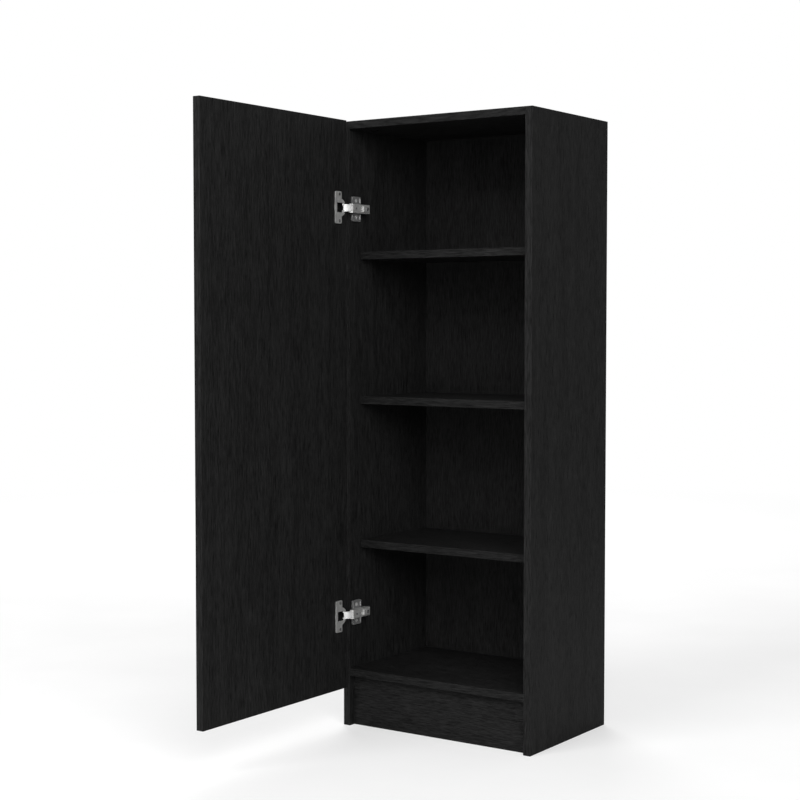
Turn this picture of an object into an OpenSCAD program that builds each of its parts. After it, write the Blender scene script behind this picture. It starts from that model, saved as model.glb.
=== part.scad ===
// Tall one-door pantry cabinet in black wood-grain board, drawn with its door standing open at 90 degrees.
// Units are millimetres. +X runs to the right along the front, +Y runs to the back, +Z is up.
// The origin is on the floor, at the middle of the kick board's bottom edge.

/* [Cabinet] */
// width over the two side panels
body_w = 430; // [380:1:500]
// depth of the side panels, front edge to rear edge
body_d = 295; // [280:1:400]
// height of the side panels
body_h = 1200; // [1140:1:1400]
// thickness of every chipboard panel
board_t = 15; // [15:0.5:18]
// height of the kick board
kick_h = 100; // [80:1:120]
// how far the kick board stands behind the front edges
kick_recess = 15; // [5:1:40]

/* [Inside] */
// thickness of the hardboard back
back_t = 3; // [3:0.5:5]
// distance from the back's rear face to the rear edges
back_inset = 19; // [10:1:30]
// how far the shelf edges stand behind the front edges
shelf_recess = 37; // [30:1:60]
// vertical step between shelves, nine holes of the 32 mm system
shelf_step = 288; // [256:32:288]

/* [Door] */
// height of the door's lower edge above the floor
door_z = 80; // [60:1:90]
// width of the door
door_w = 430; // [380:1:500]
// gap between the closed door and the front edges
door_gap = 2; // [1.5:0.5:2.5]
// height of the lower hinge
lower_hinge_z = 226; // [200:1:300]
// height of the upper hinge
upper_hinge_z = 1029; // [990:1:1060]

/* [Hinge] */
// inner face of the open door, measured from the cabinet's left face
door_face_x = 19; // [19:0.5:19]
// hinge edge of the open door, in front of the front edges
door_edge_y = -14.5; // [-14.5:0.5:-14.5]
// diameter of the pot that is sunk into the door
cup_d = 35; // [35:1:35]
// depth of the pot
cup_depth = 12; // [12:0.5:12]
// board left between the pot and the door's hinge edge
cup_margin = 4.7; // [4.5:0.1:5]
// spacing of the two screws in the pot's flange
cup_screw_pitch = 52; // [48:1:52]
// spacing of the two screws in the mounting plate
plate_screw_pitch = 32; // [32:1:34]

/* [Hidden] */
$fn = 48;
e = 0.01;

// places of the carcass
left_x = -body_w / 2;
inner_x = body_w / 2 - board_t;
front_y = -kick_recess - board_t / 2;
rear_y = front_y + body_d;
back_y = rear_y - back_inset - back_t;
groove = 5;
floor_top = kick_h + board_t;
top_under = body_h - board_t;
shelf_mid_z = (floor_top + top_under) / 2;
shelf_zs = [shelf_mid_z + shelf_step, shelf_mid_z, shelf_mid_z - shelf_step];
shelf_front_y = front_y + shelf_recess;
side_play = 0.5;

// fixings
fit = 0.1;
pin_r = 2.5;
pin_len = 16;
pin_rise = pin_r + 0.2 - board_t / 2;
pin_ys = [front_y + 69, back_y - 40];
cam_r = 7.5;
cam_h = 12;
cam_reach = 24;
bolt_r = 3;
bolt_bite = 11;
cam_ys = [front_y + 50, back_y - 50];
dowel_r = 4;
dowel_len = 30;
dowel_bite = 11;
dowel_ys = [front_y + 82, back_y - 82];
kick_dowel_zs = [25, 75];

// hinge linkage, in the corner frame: x from the left face, y from the front edges
arm_pin_a = [25.5, -10];
arm_pin_b = [28, -8];
cup_pin_c = [door_face_x - 0.75, door_edge_y - 10.5];
cup_pin_d = [door_face_x + 1.5, door_edge_y - 10.75];
rivet_r = 0.9;
run_fit = 0.05;
link_in = 5.3;
link_out = 6.9;
core_half = 5;
cheek_in = 7.2;
cheek_out = 8.4;
nose_r = 2.4;
web_in = 29.8;
web_out = 31;
arm_front = -9;
arm_rear = 46.5;
cheek_foot = 19.6;
cup_r = cup_d / 2;
cup_y = door_edge_y - cup_margin - cup_r;
flange_t = 2;
flange_len = 62.5;
flange_w = 20;
flange_y = door_edge_y - 28.5;
cup_screw_y = door_edge_y - 24.7;
mouth_half = 9.5;
mouth_far = 33;
mouth_near = 7;
plate_t = 4;
plate_len = 48.5;
wing_front = 6;
wing_rear = 33;
rail_half = 6.6;
rail_top = 26;
rail_rear = 44;
plate_screw_y = 17;
overlay_y = 2.3;
clamp_y = 35;
pad_front = 23.3;
pad_rear = 42;
pad_h = 3;
pad_half = 5.2;
window_y = 17;
window_size = 3;

black = [0.09, 0.09, 0.09];
edge_black = [0.13, 0.13, 0.13];
steel = [0.72, 0.72, 0.72];
zinc = [0.62, 0.63, 0.64];
beech = [0.76, 0.62, 0.43];

// ---------- shared shapes ----------

// a cylinder along +X starting at a point
module rod_x(p, r, len) {
  translate(p) rotate([0, 90, 0]) cylinder(r = r, h = len);
}

// a flat outline drawn in (y, z) and given thickness along +X
module slab_x(x0, t) {
  translate([x0, 0, 0]) rotate([90, 0, 90]) linear_extrude(t) children();
}

// a rectangle with round corners, centred
module round_rect(w, h, r) {
  square([w - 2 * r, h], center = true);
  square([w, h - 2 * r], center = true);
  for (sx = [-1, 1], sy = [-1, 1]) {
    translate([sx * (w / 2 - r), sy * (h / 2 - r)]) circle(r);
  }
}

// a countersunk screw along -X with its head face at x = 0
module wood_screw(head_r, shank_r, len) {
  head_h = head_r - shank_r;
  difference() {
    union() {
      translate([-head_h, 0, 0]) rotate([0, 90, 0]) cylinder(r1 = shank_r, r2 = head_r, h = head_h);
      rod_x([-len, 0, 0], shank_r, len - head_h);
      translate([-len - shank_r, 0, 0]) rotate([0, 90, 0]) cylinder(r1 = 0.2, r2 = shank_r, h = shank_r);
    }
    for (a = [0, 90]) {
      rotate([a, 0, 0]) translate([-0.9, -head_r * 0.6, -0.35]) cube([1, head_r * 1.2, 0.7]);
    }
  }
}

// the countersunk seat for such a screw
module screw_seat(head_r, shank_r, len) {
  head_h = head_r - shank_r;
  translate([-head_h, 0, 0]) rotate([0, 90, 0]) {
    cylinder(r1 = shank_r + fit, r2 = head_r + fit, h = head_h);
  }
  translate([-e, 0, 0]) rotate([0, 90, 0]) cylinder(r = head_r + fit, h = 1);
  rod_x([-len - shank_r - fit, 0, 0], shank_r + fit, len + shank_r);
}

// moves a drawing from the corner frame to a hinge height
module at_hinge(z) {
  translate([left_x, front_y, z]) children();
}

// a bowed bar between two pins, with round eyes
module bowed_link(p, q, bow, width, eye) {
  chord = norm(q - p);
  turn = atan2(q[1] - p[1], q[0] - p[0]);
  bend = (chord * chord / 4 + bow * bow) / (2 * bow);
  half = asin(chord / 2 / bend);
  far = 3 * bend;
  difference() {
    union() {
      translate(p) rotate(turn) translate([chord / 2, bow - bend]) intersection() {
        difference() {
          circle(bend + width / 2);
          circle(bend - width / 2);
        }
        polygon([[0, 0], [far * sin(half), far * cos(half)], [-far * sin(half), far * cos(half)]]);
      }
      translate(p) circle(eye);
      translate(q) circle(eye);
    }
    translate(p) circle(rivet_r + run_fit);
    translate(q) circle(rivet_r + run_fit);
  }
}

// ---------- carcass ----------

// everything bored into the inner face of the right side panel, at x = 0 and pointing +X
module side_bores() {
  for (z = shelf_zs, y = pin_ys) {
    rod_x([-e, y, z + pin_rise], pin_r + fit, pin_len / 2 + fit);
  }
  for (z = [kick_h + board_t / 2, body_h - board_t / 2]) {
    for (y = cam_ys) rod_x([-e, y, z], bolt_r + fit, bolt_bite + fit);
    for (y = dowel_ys) rod_x([-e, y, z], dowel_r + fit, dowel_bite + fit);
  }
  for (z = kick_dowel_zs) rod_x([-e, front_y + kick_recess + board_t / 2, z], dowel_r + fit, dowel_bite + fit);
  translate([-e, back_y, kick_h]) cube([groove, back_t, body_h - kick_h - board_t + groove]);
}

module right_side_panel() {
  color(black) difference() {
    translate([inner_x, front_y, 0]) cube([board_t, body_d, body_h]);
    translate([inner_x, 0, 0]) side_bores();
  }
}

module left_side_panel() {
  color(black) difference() {
    translate([left_x, front_y, 0]) cube([board_t, body_d, body_h]);
    translate([-inner_x, 0, 0]) mirror([1, 0, 0]) side_bores();
    for (hz = [lower_hinge_z, upper_hinge_z], s = [-1, 1]) {
      translate([left_x + board_t, front_y + plate_screw_y, hz + s * plate_screw_pitch / 2]) {
        rod_x([-10, 0, 0], 1.8 + fit, 11);
      }
    }
  }
}

// cam pockets, bolt holes and dowel holes of a horizontal panel whose lower face is at z = 0
module end_bores() {
  for (s = [-1, 1]) {
    for (y = cam_ys) {
      translate([s * (inner_x - cam_reach), y, -e]) cylinder(r = cam_r + fit, h = cam_h + fit);
      translate([s * (inner_x - cam_reach / 2), y, board_t / 2]) rotate([0, 90, 0]) {
        cylinder(r = bolt_r + 1, h = cam_reach + 2 * e, center = true);
      }
    }
    for (y = dowel_ys) {
      translate([s * (inner_x - (dowel_len - dowel_bite) / 2), y, board_t / 2]) rotate([0, 90, 0]) {
        cylinder(r = dowel_r + fit, h = dowel_len - dowel_bite + 2 * fit, center = true);
      }
    }
  }
}

module top_panel() {
  color(black) translate([0, 0, top_under]) difference() {
    translate([-inner_x, front_y, 0]) cube([2 * inner_x, body_d, board_t]);
    end_bores();
    translate([-inner_x - e, back_y, -e]) cube([2 * inner_x + 2 * e, back_t, groove]);
  }
}

module floor_panel() {
  color(black) translate([0, 0, kick_h]) difference() {
    translate([-inner_x, front_y, 0]) cube([2 * inner_x, back_y - front_y, board_t]);
    end_bores();
  }
}

module kick_board() {
  y = front_y + kick_recess;
  color(black) difference() {
    translate([-inner_x, y, 0]) cube([2 * inner_x, board_t, kick_h]);
    for (s = [-1, 1], z = kick_dowel_zs) {
      translate([s * (inner_x - (dowel_len - dowel_bite) / 2), y + board_t / 2, z]) rotate([0, 90, 0]) {
        cylinder(r = dowel_r + fit, h = dowel_len - dowel_bite + 2 * fit, center = true);
      }
    }
  }
}

module back_panel() {
  reach = groove - side_play;
  color(black) translate([-inner_x - reach, back_y, kick_h]) {
    cube([2 * (inner_x + reach), back_t, top_under - kick_h + reach]);
  }
}

// a shelf centred on a height, slotted underneath so that it drops over its four pins
module shelf(z) {
  half = inner_x - side_play;
  color(black) difference() {
    translate([-half, shelf_front_y, z - board_t / 2]) {
      cube([2 * half, back_y - shelf_front_y - side_play, board_t]);
    }
    for (s = [-1, 1], y = pin_ys) {
      translate([s * (half - pin_len / 4), y, z + pin_rise]) {
        rotate([0, 90, 0]) cylinder(r = pin_r + fit, h = pin_len / 2 + 2 * e, center = true);
        translate([0, 0, -pin_r]) cube([pin_len / 2 + 2 * e, 2 * (pin_r + fit), 2 * pin_r], center = true);
      }
    }
  }
}

module upper_shelf() {
  shelf(shelf_zs[0]);
}
module middle_shelf() {
  shelf(shelf_zs[1]);
}
module lower_shelf() {
  shelf(shelf_zs[2]);
}

// four steel pins, half in the side panels and half in the shelf's slots
module shelf_pins(z) {
  color(steel) for (s = [-1, 1], y = pin_ys) {
    translate([s * inner_x, y, z + pin_rise]) rotate([0, 90, 0]) {
      cylinder(r = pin_r, h = pin_len - 1, center = true);
    }
  }
}

module upper_shelf_pins() {
  shelf_pins(shelf_zs[0]);
}
module middle_shelf_pins() {
  shelf_pins(shelf_zs[1]);
}
module lower_shelf_pins() {
  shelf_pins(shelf_zs[2]);
}

// calls its children at every cam position, turned so that +X points to the side panel
module each_cam() {
  for (z = [kick_h, top_under], y = cam_ys, s = [-1, 1]) {
    translate([s * (inner_x - cam_reach), y, z]) rotate([0, 0, s > 0 ? 0 : 180]) children();
  }
}

module cam_locks() {
  color(zinc) each_cam() difference() {
    cylinder(r = cam_r, h = cam_h);
    translate([-2, 0, board_t / 2]) rotate([0, 90, 0]) cylinder(r = bolt_r + 0.9, h = cam_r + 3);
    for (a = [0, 90]) rotate([0, 0, a]) translate([-4, -0.6, -e]) cube([8, 1.2, 2.5]);
  }
}

module cam_bolts() {
  color(steel) each_cam() translate([0, 0, board_t / 2]) rotate([0, 90, 0]) {
    cylinder(r = bolt_r, h = 3);
    cylinder(r = bolt_r - 1, h = 8);
    translate([0, 0, 7]) cylinder(r = bolt_r, h = cam_reach + bolt_bite - 7);
  }
}

module cam_covers() {
  color(edge_black) each_cam() translate([0, 0, -1]) cylinder(r = cam_r + 1, h = 1);
}

module dowels() {
  color(beech) for (s = [-1, 1]) {
    for (z = [kick_h + board_t / 2, body_h - board_t / 2], y = dowel_ys) {
      translate([s * (inner_x + dowel_bite - dowel_len / 2), y, z]) rotate([0, 90, 0]) {
        cylinder(r = dowel_r, h = dowel_len - 0.4, center = true);
      }
    }
    for (z = kick_dowel_zs) {
      translate([s * (inner_x + dowel_bite - dowel_len / 2), front_y + kick_recess + board_t / 2, z]) {
        rotate([0, 90, 0]) cylinder(r = dowel_r, h = dowel_len - 0.4, center = true);
      }
    }
  }
}

// ---------- door ----------

module door_panel() {
  color(black) difference() {
    translate([left_x + door_face_x - board_t, front_y + door_edge_y - door_w, door_z]) {
      cube([board_t, door_w, body_h - door_z]);
    }
    for (hz = [lower_hinge_z, upper_hinge_z]) at_hinge(hz) {
      rod_x([door_face_x - cup_depth - fit, cup_y, 0], cup_r + fit, cup_depth + 1);
      for (s = [-1, 1]) {
        rod_x([door_face_x - 11, cup_screw_y, s * cup_screw_pitch / 2], 1.7 + fit, 12);
      }
    }
  }
}

// ---------- hinge, drawn in the corner frame about its own height ----------

module cup() {
  mouth_w = mouth_far - mouth_near;
  difference() {
    union() {
      rod_x([door_face_x - cup_depth, cup_y, 0], cup_r, cup_depth + flange_t);
      slab_x(door_face_x, flange_t) translate([flange_y, 0]) round_rect(flange_w, flange_len, 3);
    }
    intersection() {
      rod_x([door_face_x - cup_depth + 1, cup_y, 0], cup_r - 1.5, cup_depth - 1);
      translate([0, cup_y - cup_r, -mouth_half]) cube([door_face_x, cup_d, 2 * mouth_half]);
    }
    translate([door_face_x - cup_depth + 1, door_edge_y - cup_margin - cup_r, -link_out - 0.3]) {
      cube([cup_depth, cup_r + cup_margin - mouth_near, 2 * link_out + 0.6]);
    }
    translate([door_face_x - e, door_edge_y - mouth_far, -mouth_half]) {
      cube([flange_t + 1, mouth_w, 2 * mouth_half]);
    }
    translate([door_face_x - e, door_edge_y - mouth_near - 1, -link_out - 0.6]) {
      cube([flange_t + 1, mouth_near, 2 * link_out + 1.2]);
    }
    for (s = [-1, 1]) {
      translate([door_face_x + flange_t, cup_screw_y, s * cup_screw_pitch / 2]) screw_seat(3.2, 1.7, 13);
      translate([cup_pin_c[0], cup_pin_c[1], s * 10]) cylinder(r = rivet_r + 0.02, h = 3, center = true);
    }
  }
}

module cup_screws() {
  for (s = [-1, 1]) {
    translate([door_face_x + flange_t, cup_screw_y, s * cup_screw_pitch / 2]) wood_screw(3.2, 1.7, 11);
  }
}

module cup_pins() {
  for (s = [-1, 1]) {
    translate([cup_pin_c[0], cup_pin_c[1], s * (link_in + 11.4) / 2]) {
      cylinder(r = rivet_r, h = 11.4 - link_in, center = true);
    }
  }
}

module outer_link() {
  for (z = [-link_out, link_in]) {
    translate([0, 0, z]) linear_extrude(link_out - link_in) {
      bowed_link(arm_pin_a, cup_pin_c, 4, 3, 1.9);
    }
  }
}

module inner_link() {
  translate([0, 0, -core_half]) linear_extrude(2 * core_half) {
    bowed_link(arm_pin_b, cup_pin_d, 2.3, 2.4, 1.5);
  }
}

module link_pin() {
  translate([cup_pin_d[0], cup_pin_d[1], -core_half - 0.1]) cylinder(r = rivet_r, h = 2 * core_half + 0.2);
}

// one cheek of the arm's channel, drawn in (x, y)
module cheek_outline() {
  difference() {
    union() {
      polygon([
        [cheek_foot, 4], [cheek_foot, arm_rear - 6], [web_in - 3, arm_rear], [web_out - 0.2, arm_rear],
        [web_out - 0.2, arm_front], [arm_pin_a[0] + 1, arm_pin_a[1] - 2], [arm_pin_a[0] - 2, arm_pin_a[1] + 1]
      ]);
      translate(arm_pin_a) circle(nose_r);
      translate(arm_pin_b) circle(nose_r);
    }
    translate(arm_pin_a) circle(rivet_r + 0.02);
    translate(arm_pin_b) circle(rivet_r + 0.02);
  }
}

module arm() {
  difference() {
    union() {
      for (z = [-cheek_out, cheek_in]) {
        translate([0, 0, z]) linear_extrude(cheek_out - cheek_in) cheek_outline();
      }
      translate([web_in, arm_front, -cheek_out]) {
        cube([web_out - web_in, arm_rear - arm_front, 2 * cheek_out]);
      }
      translate([web_in, pad_front, -pad_half]) cube([web_out - web_in + pad_h, pad_rear - pad_front, 2 * pad_half]);
    }
    rod_x([web_in - 1, overlay_y, 0], 2.2 + fit, 4);
    rod_x([web_in - 1, clamp_y, 0], 2.5 + fit, 8);
    translate([web_in + 0.5, window_y, 0]) cube([4, window_size, window_size], center = true);
  }
}

module arm_pins() {
  for (s = [-1, 1]) {
    translate([arm_pin_a[0], arm_pin_a[1], s * (link_in + cheek_out) / 2]) {
      cylinder(r = rivet_r, h = cheek_out - link_in, center = true);
    }
  }
  translate([arm_pin_b[0], arm_pin_b[1], 0]) cylinder(r = rivet_r, h = 2 * cheek_out, center = true);
}

// forked leaf under the arm's web, its two prongs reaching to the inner link's eye
module leaf_spring() {
  slab_x(web_in - 0.7, 0.6) difference() {
    translate([-6.2, -4.8]) square([28, 9.6]);
    translate([-6.3, -3]) square([18, 6]);
  }
}

module mounting_plate() {
  difference() {
    union() {
      slab_x(board_t, plate_t) translate([(wing_front + wing_rear) / 2, 0]) {
        round_rect(wing_rear - wing_front, plate_len, 3);
      }
      translate([board_t, 0, -rail_half]) cube([rail_top - board_t - 4, rail_rear, 2 * rail_half]);
      translate([board_t, 9, -rail_half]) cube([rail_top - board_t, rail_rear - 9, 2 * rail_half]);
      for (s = [-1, 1]) {
        translate([board_t + plate_t - 0.8, wing_rear - 2.2, s * plate_screw_pitch / 2]) {
          cylinder(r = 2, h = 8.5, center = true);
        }
      }
    }
    for (s = [-1, 1]) {
      translate([board_t + plate_t, plate_screw_y, s * plate_screw_pitch / 2]) screw_seat(3.8, 1.8, 13);
    }
    rod_x([rail_top - 10, clamp_y, 0], 2 + fit, 12);
  }
}

module plate_screws() {
  for (s = [-1, 1]) {
    translate([board_t + plate_t, plate_screw_y, s * plate_screw_pitch / 2]) wood_screw(3.8, 1.8, 12);
  }
}

// side-to-side adjuster, its foot resting on the rail
module overlay_screw() {
  difference() {
    rod_x([rail_top - 4, overlay_y, 0], 2.2, web_out - rail_top + 4.3);
    for (a = [0, 90]) translate([web_out - 0.6, overlay_y, 0]) rotate([a, 0, 0]) {
      translate([0, -1.5, -0.3]) cube([1, 3, 0.6]);
    }
  }
}

// screw that clamps the arm onto the mounting plate
module clamp_screw() {
  top = web_out + pad_h;
  difference() {
    union() {
      rod_x([top, clamp_y, 0], 3.4, 1.2);
      rod_x([rail_top - 9, clamp_y, 0], 2, top - rail_top + 9 + e);
    }
    for (a = [0, 90]) translate([top + 0.4, clamp_y, 0]) rotate([a, 0, 0]) {
      translate([0, -2, -0.4]) cube([1, 4, 0.8]);
    }
  }
}

module upper_hinge_cup() {
  color(zinc) at_hinge(upper_hinge_z) cup();
}
module upper_cup_screws() {
  color(steel) at_hinge(upper_hinge_z) cup_screws();
}
module upper_cup_pins() {
  color(steel) at_hinge(upper_hinge_z) cup_pins();
}
module upper_outer_link() {
  color(steel) at_hinge(upper_hinge_z) outer_link();
}
module upper_inner_link() {
  color(steel) at_hinge(upper_hinge_z) inner_link();
}
module upper_link_pin() {
  color(steel) at_hinge(upper_hinge_z) link_pin();
}
module upper_hinge_arm() {
  color(steel) at_hinge(upper_hinge_z) arm();
}
module upper_arm_pins() {
  color(steel) at_hinge(upper_hinge_z) arm_pins();
}
module upper_hinge_spring() {
  color(steel) at_hinge(upper_hinge_z) leaf_spring();
}
module upper_mounting_plate() {
  color(zinc) at_hinge(upper_hinge_z) mounting_plate();
}
module upper_plate_screws() {
  color(steel) at_hinge(upper_hinge_z) plate_screws();
}
module upper_overlay_screw() {
  color(steel) at_hinge(upper_hinge_z) overlay_screw();
}
module upper_clamp_screw() {
  color(steel) at_hinge(upper_hinge_z) clamp_screw();
}

module lower_hinge_cup() {
  color(zinc) at_hinge(lower_hinge_z) cup();
}
module lower_cup_screws() {
  color(steel) at_hinge(lower_hinge_z) cup_screws();
}
module lower_cup_pins() {
  color(steel) at_hinge(lower_hinge_z) cup_pins();
}
module lower_outer_link() {
  color(steel) at_hinge(lower_hinge_z) outer_link();
}
module lower_inner_link() {
  color(steel) at_hinge(lower_hinge_z) inner_link();
}
module lower_link_pin() {
  color(steel) at_hinge(lower_hinge_z) link_pin();
}
module lower_hinge_arm() {
  color(steel) at_hinge(lower_hinge_z) arm();
}
module lower_arm_pins() {
  color(steel) at_hinge(lower_hinge_z) arm_pins();
}
module lower_hinge_spring() {
  color(steel) at_hinge(lower_hinge_z) leaf_spring();
}
module lower_mounting_plate() {
  color(zinc) at_hinge(lower_hinge_z) mounting_plate();
}
module lower_plate_screws() {
  color(steel) at_hinge(lower_hinge_z) plate_screws();
}
module lower_overlay_screw() {
  color(steel) at_hinge(lower_hinge_z) overlay_screw();
}
module lower_clamp_screw() {
  color(steel) at_hinge(lower_hinge_z) clamp_screw();
}

left_side_panel();
right_side_panel();
top_panel();
floor_panel();
kick_board();
back_panel();
upper_shelf();
middle_shelf();
lower_shelf();
upper_shelf_pins();
middle_shelf_pins();
lower_shelf_pins();
cam_locks();
cam_bolts();
cam_covers();
dowels();
door_panel();
upper_hinge_cup();
upper_cup_screws();
upper_cup_pins();
upper_outer_link();
upper_inner_link();
upper_link_pin();
upper_hinge_arm();
upper_arm_pins();
upper_hinge_spring();
upper_mounting_plate();
upper_plate_screws();
upper_overlay_screw();
upper_clamp_screw();
lower_hinge_cup();
lower_cup_screws();
lower_cup_pins();
lower_outer_link();
lower_inner_link();
lower_link_pin();
lower_hinge_arm();
lower_arm_pins();
lower_hinge_spring();
lower_mounting_plate();
lower_plate_screws();
lower_overlay_screw();
lower_clamp_screw();
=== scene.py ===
"""Looks for the pantry cabinet: black wood-grain board, nickel hinges, a pale studio."""

import math

import bmesh
import bpy
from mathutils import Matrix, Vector


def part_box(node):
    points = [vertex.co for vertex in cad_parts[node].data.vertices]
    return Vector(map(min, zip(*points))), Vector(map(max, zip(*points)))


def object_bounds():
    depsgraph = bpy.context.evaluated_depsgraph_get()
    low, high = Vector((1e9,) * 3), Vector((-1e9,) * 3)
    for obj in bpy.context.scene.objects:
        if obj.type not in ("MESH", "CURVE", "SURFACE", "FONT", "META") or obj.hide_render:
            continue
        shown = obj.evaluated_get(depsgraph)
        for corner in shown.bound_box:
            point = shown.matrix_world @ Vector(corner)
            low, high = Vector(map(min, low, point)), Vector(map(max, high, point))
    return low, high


# Camera, measured from the left side panel's lower front corner.
CAMERA_OFFSET = Vector((1.93975, -2.60905, 0.80549))
CAMERA_AZIMUTH = math.radians(34.65)
CAMERA_PITCH = math.radians(2.72)
LENS_MM = 73.68
SENSOR_MM = 36.0

# Boards whose grain runs up, and boards whose grain runs across.
UPRIGHT = ("left_side_panel", "right_side_panel", "door_panel", "back_panel")
LEVEL = ("top_panel", "floor_panel", "kick_board", "upper_shelf", "middle_shelf", "lower_shelf")

# Each hinge's parts by finish; a node is a side, an underscore and a part.
HINGE_SIDES = ("upper", "lower")
CAST_PARTS = ("mounting_plate",)
POT_PARTS = ("hinge_cup",)
PRESSED_PARTS = ("hinge_arm", "hinge_spring")
LINK_PARTS = ("outer_link", "inner_link")
TURNED_PARTS = ("cup_screws", "overlay_screw", "clamp_screw")
BRIGHT_PARTS = ("plate_screws", "cup_pins", "link_pin", "arm_pins")

SHELF_PINS = ("upper_shelf_pins", "middle_shelf_pins", "lower_shelf_pins")

# Board foil: darkest and lightest tone, mean roughness, and the share of each layer of grain.
FOIL_DARK = 0.0030
FOIL_LIGHT = 0.0215
FOIL_ROUGHNESS = 0.52
FIGURE_SHARE = 0.10
STREAK_SHARE = 0.48
FIBRE_SHARE = 0.42
FOIL_SPECULAR = 0.10

# Plated metal: grain scale, share of mirror-like reflection, how fast painted shade darkens a pot
# below its rim, and how far in front of the side panel the painted highlight on the nose of an arm
# starts, in metres.
PLATE_GRAIN = 900.0
SATIN = 0.65
POT_SHADE_DROP = 0.0004
POT_SHADE_FADE = 0.0015
NOSE_HIGHLIGHT_FADE = 0.0005
NOSE_HIGHLIGHT_REACH = 0.0092

# Studio: the floor disc in metres, where it fades to white, and the even light of the air. The
# floor's glow and the white backdrop are seen by the camera alone, and light nothing.
FLOOR_RADIUS = 14.0
FLOOR_SEGMENTS = 96
FLOOR_DROP = 0.0004
FLOOR_FADE = (1.6, 5.0)
FLOOR_GLOW = 0.46
AIR_LIGHT = 0.3

# Lamps: name, place and size in metres, power in watts.
LAMPS = (
    ("key", (-1.0, -3.7, 3.6), (2.2, 2.2), 116),
    ("fill", (2.8, -2.75, 2.3), (2.4, 2.4), 128),
    ("rear", (-2.8, 3.4, 2.4), (2.4, 2.4), 130),
    ("floor_bounce", (0.7, -2.2, 0.12), (1.6, 0.8), 12),
)


# ---------- node helpers ----------


def grey(level):
    """An opaque grey."""
    return (level, level, level, 1)


def grain_scales(axis, along, across):
    """Noise scales that are slow along one axis and fast across it."""
    scales = [across] * 3
    scales["xyz".index(axis)] = along
    return tuple(scales)


class Shader:
    """A material's node tree with short calls for adding and linking nodes."""

    def __init__(self, name):
        self.material = bpy.data.materials.new(name)
        self.material.use_nodes = True
        self.nodes = self.material.node_tree.nodes
        self.links = self.material.node_tree.links
        self.nodes.clear()
        self.out = self.nodes.new("ShaderNodeOutputMaterial")

    def feed(self, socket, value):
        """Link an output to a socket, or set the socket to a plain value."""
        if isinstance(value, bpy.types.NodeSocket):
            self.links.new(value, socket)
        else:
            socket.default_value = value

    def add(self, kind, settings=None, **inputs):
        node = self.nodes.new("ShaderNode" + kind)
        for key, value in (settings or {}).items():
            setattr(node, key, value)
        for key, value in inputs.items():
            self.feed(node.inputs[key], value)
        return node

    def stretched(self, scale, offset=(0, 0, 0)):
        """Object coordinates scaled per axis, so that one axis can run slow."""
        coords = self.add("TexCoord")
        mapping = self.add("Mapping", Vector=coords.outputs["Object"])
        mapping.inputs["Scale"].default_value = scale
        mapping.inputs["Location"].default_value = offset
        return mapping.outputs["Vector"]

    def coordinate(self, axis):
        """One of the object coordinates, by its letter."""
        coords = self.add("TexCoord")
        return self.add("SeparateXYZ", Vector=coords.outputs["Object"]).outputs[axis]

    def noise(self, vector, detail, roughness=0.5, distortion=0.0):
        node = self.add("TexNoise", Vector=vector, Scale=1.0, Detail=detail, Roughness=roughness,
                        Distortion=distortion)
        return node.outputs["Fac"]

    def ramp(self, factor, low, high, low_value=0.0, high_value=1.0):
        """Linear remap of a factor from low..high to low_value..high_value, clamped."""
        node = self.add("MapRange", Value=factor)
        node.inputs["From Min"].default_value = low
        node.inputs["From Max"].default_value = high
        node.inputs["To Min"].default_value = low_value
        node.inputs["To Max"].default_value = high_value
        return node.outputs["Result"]

    def math(self, operation, a, b=0.0):
        node = self.add("Math", {"operation": operation})
        for socket, value in zip(node.inputs, (a, b)):
            self.feed(socket, value)
        return node.outputs[0]

    def mix(self, factor, a, b):
        """Colour a where the factor is 0 and b where it is 1."""
        node = self.add("Mix", {"data_type": "RGBA"})
        for index, value in ((0, factor), (6, a), (7, b)):
            self.feed(node.inputs[index], value)
        return node.outputs[2]

    def edge_mask(self, radius, gain):
        """1 along convex and concave edges, 0 on flat faces."""
        flat = self.add("NewGeometry")
        dot = self.add("VectorMath", {"operation": "DOT_PRODUCT"})
        self.links.new(self.rounded(radius), dot.inputs[0])
        self.links.new(flat.outputs["Normal"], dot.inputs[1])
        return self.ramp(dot.outputs["Value"], 1.0, 1.0 - gain)

    def rounded(self, radius):
        """The surface normal with its edges rounded over."""
        return self.add("Bevel", {"samples": 4}, Radius=radius).outputs["Normal"]

    def bump(self, height, distance, strength, normal=None):
        node = self.add("Bump", Height=height, Distance=distance, Strength=strength)
        if normal is not None:
            self.links.new(normal, node.inputs["Normal"])
        return node.outputs["Normal"]

    def finish(self, **sockets):
        shader = self.add("BsdfPrincipled", **sockets)
        self.links.new(shader.outputs[0], self.out.inputs["Surface"])
        return self.material


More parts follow.
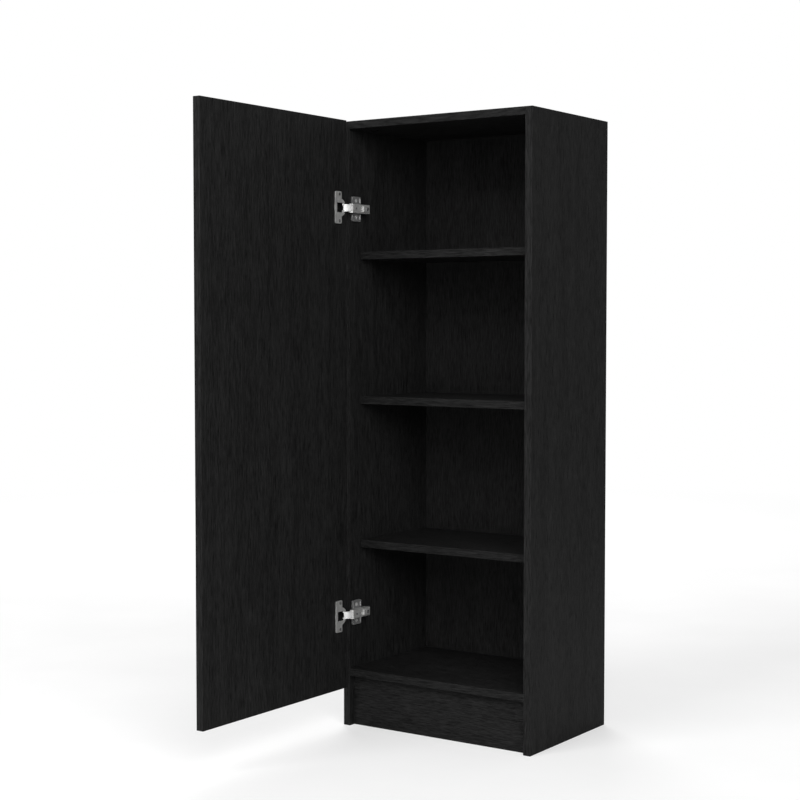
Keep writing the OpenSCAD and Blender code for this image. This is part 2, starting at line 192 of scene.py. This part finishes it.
def wood_foil(name, axis, seed):
    """Black wood-grain foil: faint long figure, short streaks and pores along one axis."""
    s = Shader(name)
    offset = (seed * 0.37, seed * 0.91, seed * 0.53)

    def grain(along, across, **settings):
        return s.noise(s.stretched(grain_scales(axis, along, across), offset), **settings)

    figure = grain(2.2, 30, detail=3, distortion=0.4)
    streaks = grain(26, 540, detail=4, roughness=0.6)
    fibres = grain(70, 1200, detail=3, roughness=0.6)
    pores = s.ramp(grain(44, 800, detail=2), 0.57, 0.68)
    fine = s.math("ADD", s.math("MULTIPLY", streaks, STREAK_SHARE),
                  s.math("MULTIPLY", fibres, FIBRE_SHARE))
    tone = s.math("ADD", s.math("MULTIPLY", figure, FIGURE_SHARE), fine)
    colour = s.mix(s.ramp(tone, 0.39, 0.61), grey(FOIL_DARK), grey(FOIL_LIGHT))
    colour = s.mix(s.math("MULTIPLY", pores, 0.7), colour, grey(FOIL_DARK * 0.5))
    edge = s.edge_mask(0.0007, 0.25)
    colour = s.mix(s.math("MULTIPLY", edge, 0.3), colour, grey(FOIL_LIGHT * 1.5))
    sheen = s.ramp(streaks, 0.3, 0.7, FOIL_ROUGHNESS - 0.05, FOIL_ROUGHNESS + 0.07)
    roughness = s.math("ADD", sheen, s.math("MULTIPLY", pores, 0.12))
    ridges = s.math("ADD", s.math("MULTIPLY", streaks, 0.6), s.math("MULTIPLY", fibres, 0.4))
    relief = s.math("SUBTRACT", ridges, s.math("MULTIPLY", pores, 0.8))
    normal = s.bump(relief, 0.0004, 0.8, s.rounded(0.0006))
    return s.finish(**{"Base Color": colour, "Roughness": roughness, "Normal": normal,
                       "Specular IOR Level": FOIL_SPECULAR})


def plated_metal(name, base, roughness, brushed_axis=None, edge_highlight=0.5, shade_below_x=None, nose_highlight_y=None,
                 metallic=SATIN):
    """Satin nickel plate: fine brushing or cast grain, handling smears and a painted highlight along
    the edges.

    cavity is the x below which the plate is painted dark, as painted shade inside a pressed pot, and
    made duller.
    bare is the y in front of which it is painted light, as a painted highlight on the nose that the
    links turn on."""
    s = Shader(name)
    if brushed_axis is None:
        grain = s.noise(s.stretched((PLATE_GRAIN,) * 3), detail=3)
    else:
        brushing = grain_scales(brushed_axis, PLATE_GRAIN * 0.05, PLATE_GRAIN * 2.2)
        grain = s.noise(s.stretched(brushing), detail=4)
    smears = s.noise(s.stretched((140.0,) * 3), detail=4, roughness=0.65)
    dull = tuple(c * 0.8 for c in base) + (1,)
    colour = s.mix(s.ramp(smears, 0.35, 0.7), dull, base + (1,))
    edge = s.edge_mask(0.0005, 0.35)
    # Painted highlight: along the edges the colour is painted towards near white.
    colour = s.mix(s.math("MULTIPLY", edge, edge_highlight), colour, (0.93, 0.93, 0.92, 1))
    rough = s.math("ADD", s.ramp(grain, 0.25, 0.75, roughness - 0.06, roughness + 0.08),
                   s.ramp(smears, 0.4, 0.75, 0.0, 0.09))
    if shade_below_x is not None:
        # Painted shade: below the given x the colour is painted almost black for the shade inside the
        # pot; the plate is also made rougher.
        painted_pot_shade = s.ramp(s.coordinate("X"), shade_below_x, shade_below_x - POT_SHADE_FADE)
        colour = s.mix(painted_pot_shade, colour, grey(0.006))
        rough = s.math("ADD", rough, s.math("MULTIPLY", painted_pot_shade, 0.4))
    if nose_highlight_y is not None:
        # Painted highlight: in front of the given y the arm is painted light grey for the highlight on
        # its nose.
        painted_nose_highlight = s.ramp(s.coordinate("Y"), nose_highlight_y, nose_highlight_y - NOSE_HIGHLIGHT_FADE)
        colour = s.mix(painted_nose_highlight, colour, (0.7, 0.7, 0.69, 1))
    normal = s.bump(grain, 0.00005, 0.6, s.rounded(0.0004))
    return s.finish(**{"Base Color": colour, "Metallic": metallic, "Roughness": rough,
                       "Normal": normal})


def moulded_plastic(name, base):
    """Matt moulded plastic with a fine spark-eroded texture."""
    s = Shader(name)
    texture = s.noise(s.stretched((1500.0,) * 3), detail=2)
    clouds = s.noise(s.stretched((90.0,) * 3), detail=3)
    colour = s.mix(s.ramp(clouds, 0.3, 0.7), grey(base * 0.8), grey(base * 1.2))
    return s.finish(**{"Base Color": colour, "Roughness": s.ramp(texture, 0.3, 0.7, 0.5, 0.62),
                       "Normal": s.bump(texture, 0.00004, 0.7), "Specular IOR Level": 0.15})


def beech_peg(name):
    """Pale beech with short flecks along the peg."""
    s = Shader(name)
    fleck = s.noise(s.stretched(grain_scales("x", 160, 1400)), detail=3)
    streak = s.noise(s.stretched(grain_scales("x", 30, 500)), detail=4)
    colour = s.mix(s.ramp(streak, 0.3, 0.7), (0.56, 0.37, 0.20, 1), (0.72, 0.53, 0.33, 1))
    colour = s.mix(s.ramp(fleck, 0.6, 0.68, 0.0, 0.6), colour, (0.36, 0.20, 0.10, 1))
    return s.finish(**{"Base Color": colour, "Roughness": 0.62, "Normal": s.bump(streak, 0.0001, 0.5)})


# ---------- pieces ----------


def give(node, material):
    """A CAD node keeps its shape and takes a finished material."""
    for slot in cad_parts[node].material_slots:
        slot.material = material


def dress_boards():
    for seed, node in enumerate(UPRIGHT):
        give(node, wood_foil("foil_" + node, "z", seed + 1))
    for seed, node in enumerate(LEVEL):
        give(node, wood_foil("foil_" + node, "x", seed + 7))


def dress_hardware():
    cast = plated_metal("cast_nickel", (0.36, 0.36, 0.36), 0.36)
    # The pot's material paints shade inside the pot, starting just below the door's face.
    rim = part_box("door_panel")[1].x - POT_SHADE_DROP
    pot = plated_metal("pot_nickel", (0.66, 0.66, 0.65), 0.38, shade_below_x=rim)
    # The pressed metal paints a highlight on the arm's nose, in front of the side panel, and weaker
    # highlights on its edges.
    pressed = plated_metal("pressed_nickel", (0.60, 0.60, 0.59), 0.42, "z", edge_highlight=0.25,
                           nose_highlight_y=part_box("left_side_panel")[0].y - NOSE_HIGHLIGHT_REACH)
    polished = plated_metal("polished_link", (0.96, 0.96, 0.95), 0.40, "z", metallic=0.25)
    turned = plated_metal("turned_steel", (0.13, 0.13, 0.13), 0.38)
    bright = plated_metal("bright_screw", (0.80, 0.80, 0.79), 0.34)
    groups = ((CAST_PARTS, cast), (POT_PARTS, pot), (PRESSED_PARTS, pressed), (LINK_PARTS, polished),
              (TURNED_PARTS, turned), (BRIGHT_PARTS, bright))
    for side in HINGE_SIDES:
        for parts, material in groups:
            for part in parts:
                give(side + "_" + part, material)
    give("cam_locks", cast)
    for node in ("cam_bolts",) + SHELF_PINS:
        give(node, turned)
    give("cam_covers", moulded_plastic("black_moulding", 0.004))
    give("dowels", beech_peg("beech"))


# ---------- studio ----------


def area_light(name, place, size, power, target):
    data = bpy.data.lights.new(name, "AREA")
    data.shape = "RECTANGLE"
    data.size, data.size_y = size
    data.energy = power
    lamp = bpy.data.objects.new(name, data)
    lamp.location = place
    lamp.rotation_euler = (Vector(target) - Vector(place)).to_track_quat("-Z", "Y").to_euler()
    lamp.visible_camera = False
    bpy.context.collection.objects.link(lamp)


def build_floor(centre):
    """A pale floor disc that fades into the white backdrop."""
    floor_mesh = bpy.data.meshes.new("studio_floor")
    shape = bmesh.new()
    bmesh.ops.create_circle(shape, cap_ends=True, segments=FLOOR_SEGMENTS,
                            radius=FLOOR_RADIUS)
    shape.to_mesh(floor_mesh)
    shape.free()
    floor = bpy.data.objects.new("studio_floor", floor_mesh)
    floor.location = (centre.x, centre.y, -FLOOR_DROP)
    bpy.context.collection.objects.link(floor)
    s = Shader("pale_floor")
    mottle = s.noise(s.stretched((3.0,) * 3), detail=5)
    colour = s.mix(s.ramp(mottle, 0.3, 0.7), grey(0.50), grey(0.53))
    far = s.add("VectorMath", {"operation": "LENGTH"})
    s.links.new(s.add("TexCoord").outputs["Object"], far.inputs[0])
    fade = s.ramp(far.outputs["Value"], *FLOOR_FADE)
    glow = s.mix(fade, grey(FLOOR_GLOW), grey(1))
    floor_mesh.materials.append(s.finish(**{
        "Base Color": s.mix(fade, colour, grey(0)), "Roughness": 0.7, "Specular IOR Level": 0.0,
        "Emission Color": glow, "Emission Strength": s.add("LightPath").outputs["Is Camera Ray"]}))


def build_air():
    """Even light from all round, with a white backdrop for the camera."""
    world = bpy.data.worlds.new("studio_air")
    world.use_nodes = True
    nodes, links = world.node_tree.nodes, world.node_tree.links
    air = nodes["Background"]
    air.inputs["Color"].default_value = grey(1)
    air.inputs["Strength"].default_value = AIR_LIGHT
    backdrop = nodes.new("ShaderNodeBackground")
    backdrop.inputs["Color"].default_value = grey(1)
    seen = nodes.new("ShaderNodeLightPath")
    blend = nodes.new("ShaderNodeMixShader")
    links.new(seen.outputs["Is Camera Ray"], blend.inputs[0])
    links.new(air.outputs[0], blend.inputs[1])
    links.new(backdrop.outputs[0], blend.inputs[2])
    links.new(blend.outputs[0], nodes["World Output"].inputs["Surface"])
    bpy.context.scene.world = world


def build_studio(centre):
    build_floor(centre)
    build_air()
    for name, place, size, power in LAMPS:
        area_light(name, place, size, power, centre)


def build_camera(corner):
    """The camera, placed from the left side panel's lower front corner."""
    data = bpy.data.cameras.new("camera")
    data.lens = LENS_MM
    data.sensor_width = SENSOR_MM
    data.clip_end = 100.0
    camera = bpy.data.objects.new("camera", data)
    camera.location = corner + CAMERA_OFFSET
    look = Vector((-math.sin(CAMERA_AZIMUTH) * math.cos(CAMERA_PITCH),
                   math.cos(CAMERA_AZIMUTH) * math.cos(CAMERA_PITCH),
                   -math.sin(CAMERA_PITCH)))
    camera.rotation_euler = look.to_track_quat("-Z", "Y").to_euler()
    bpy.context.collection.objects.link(camera)
    bpy.context.scene.camera = camera


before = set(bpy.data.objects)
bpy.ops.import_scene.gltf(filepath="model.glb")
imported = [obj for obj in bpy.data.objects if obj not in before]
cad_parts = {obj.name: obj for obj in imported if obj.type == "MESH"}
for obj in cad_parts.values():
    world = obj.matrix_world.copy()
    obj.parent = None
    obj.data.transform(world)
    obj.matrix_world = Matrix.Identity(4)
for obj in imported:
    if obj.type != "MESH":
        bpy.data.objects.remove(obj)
cad_low, cad_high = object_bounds()

dress_boards()
dress_hardware()
build_studio((cad_low + cad_high) / 2)
build_camera(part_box("left_side_panel")[0])
bpy.context.scene.view_settings.view_transform = "Standard"
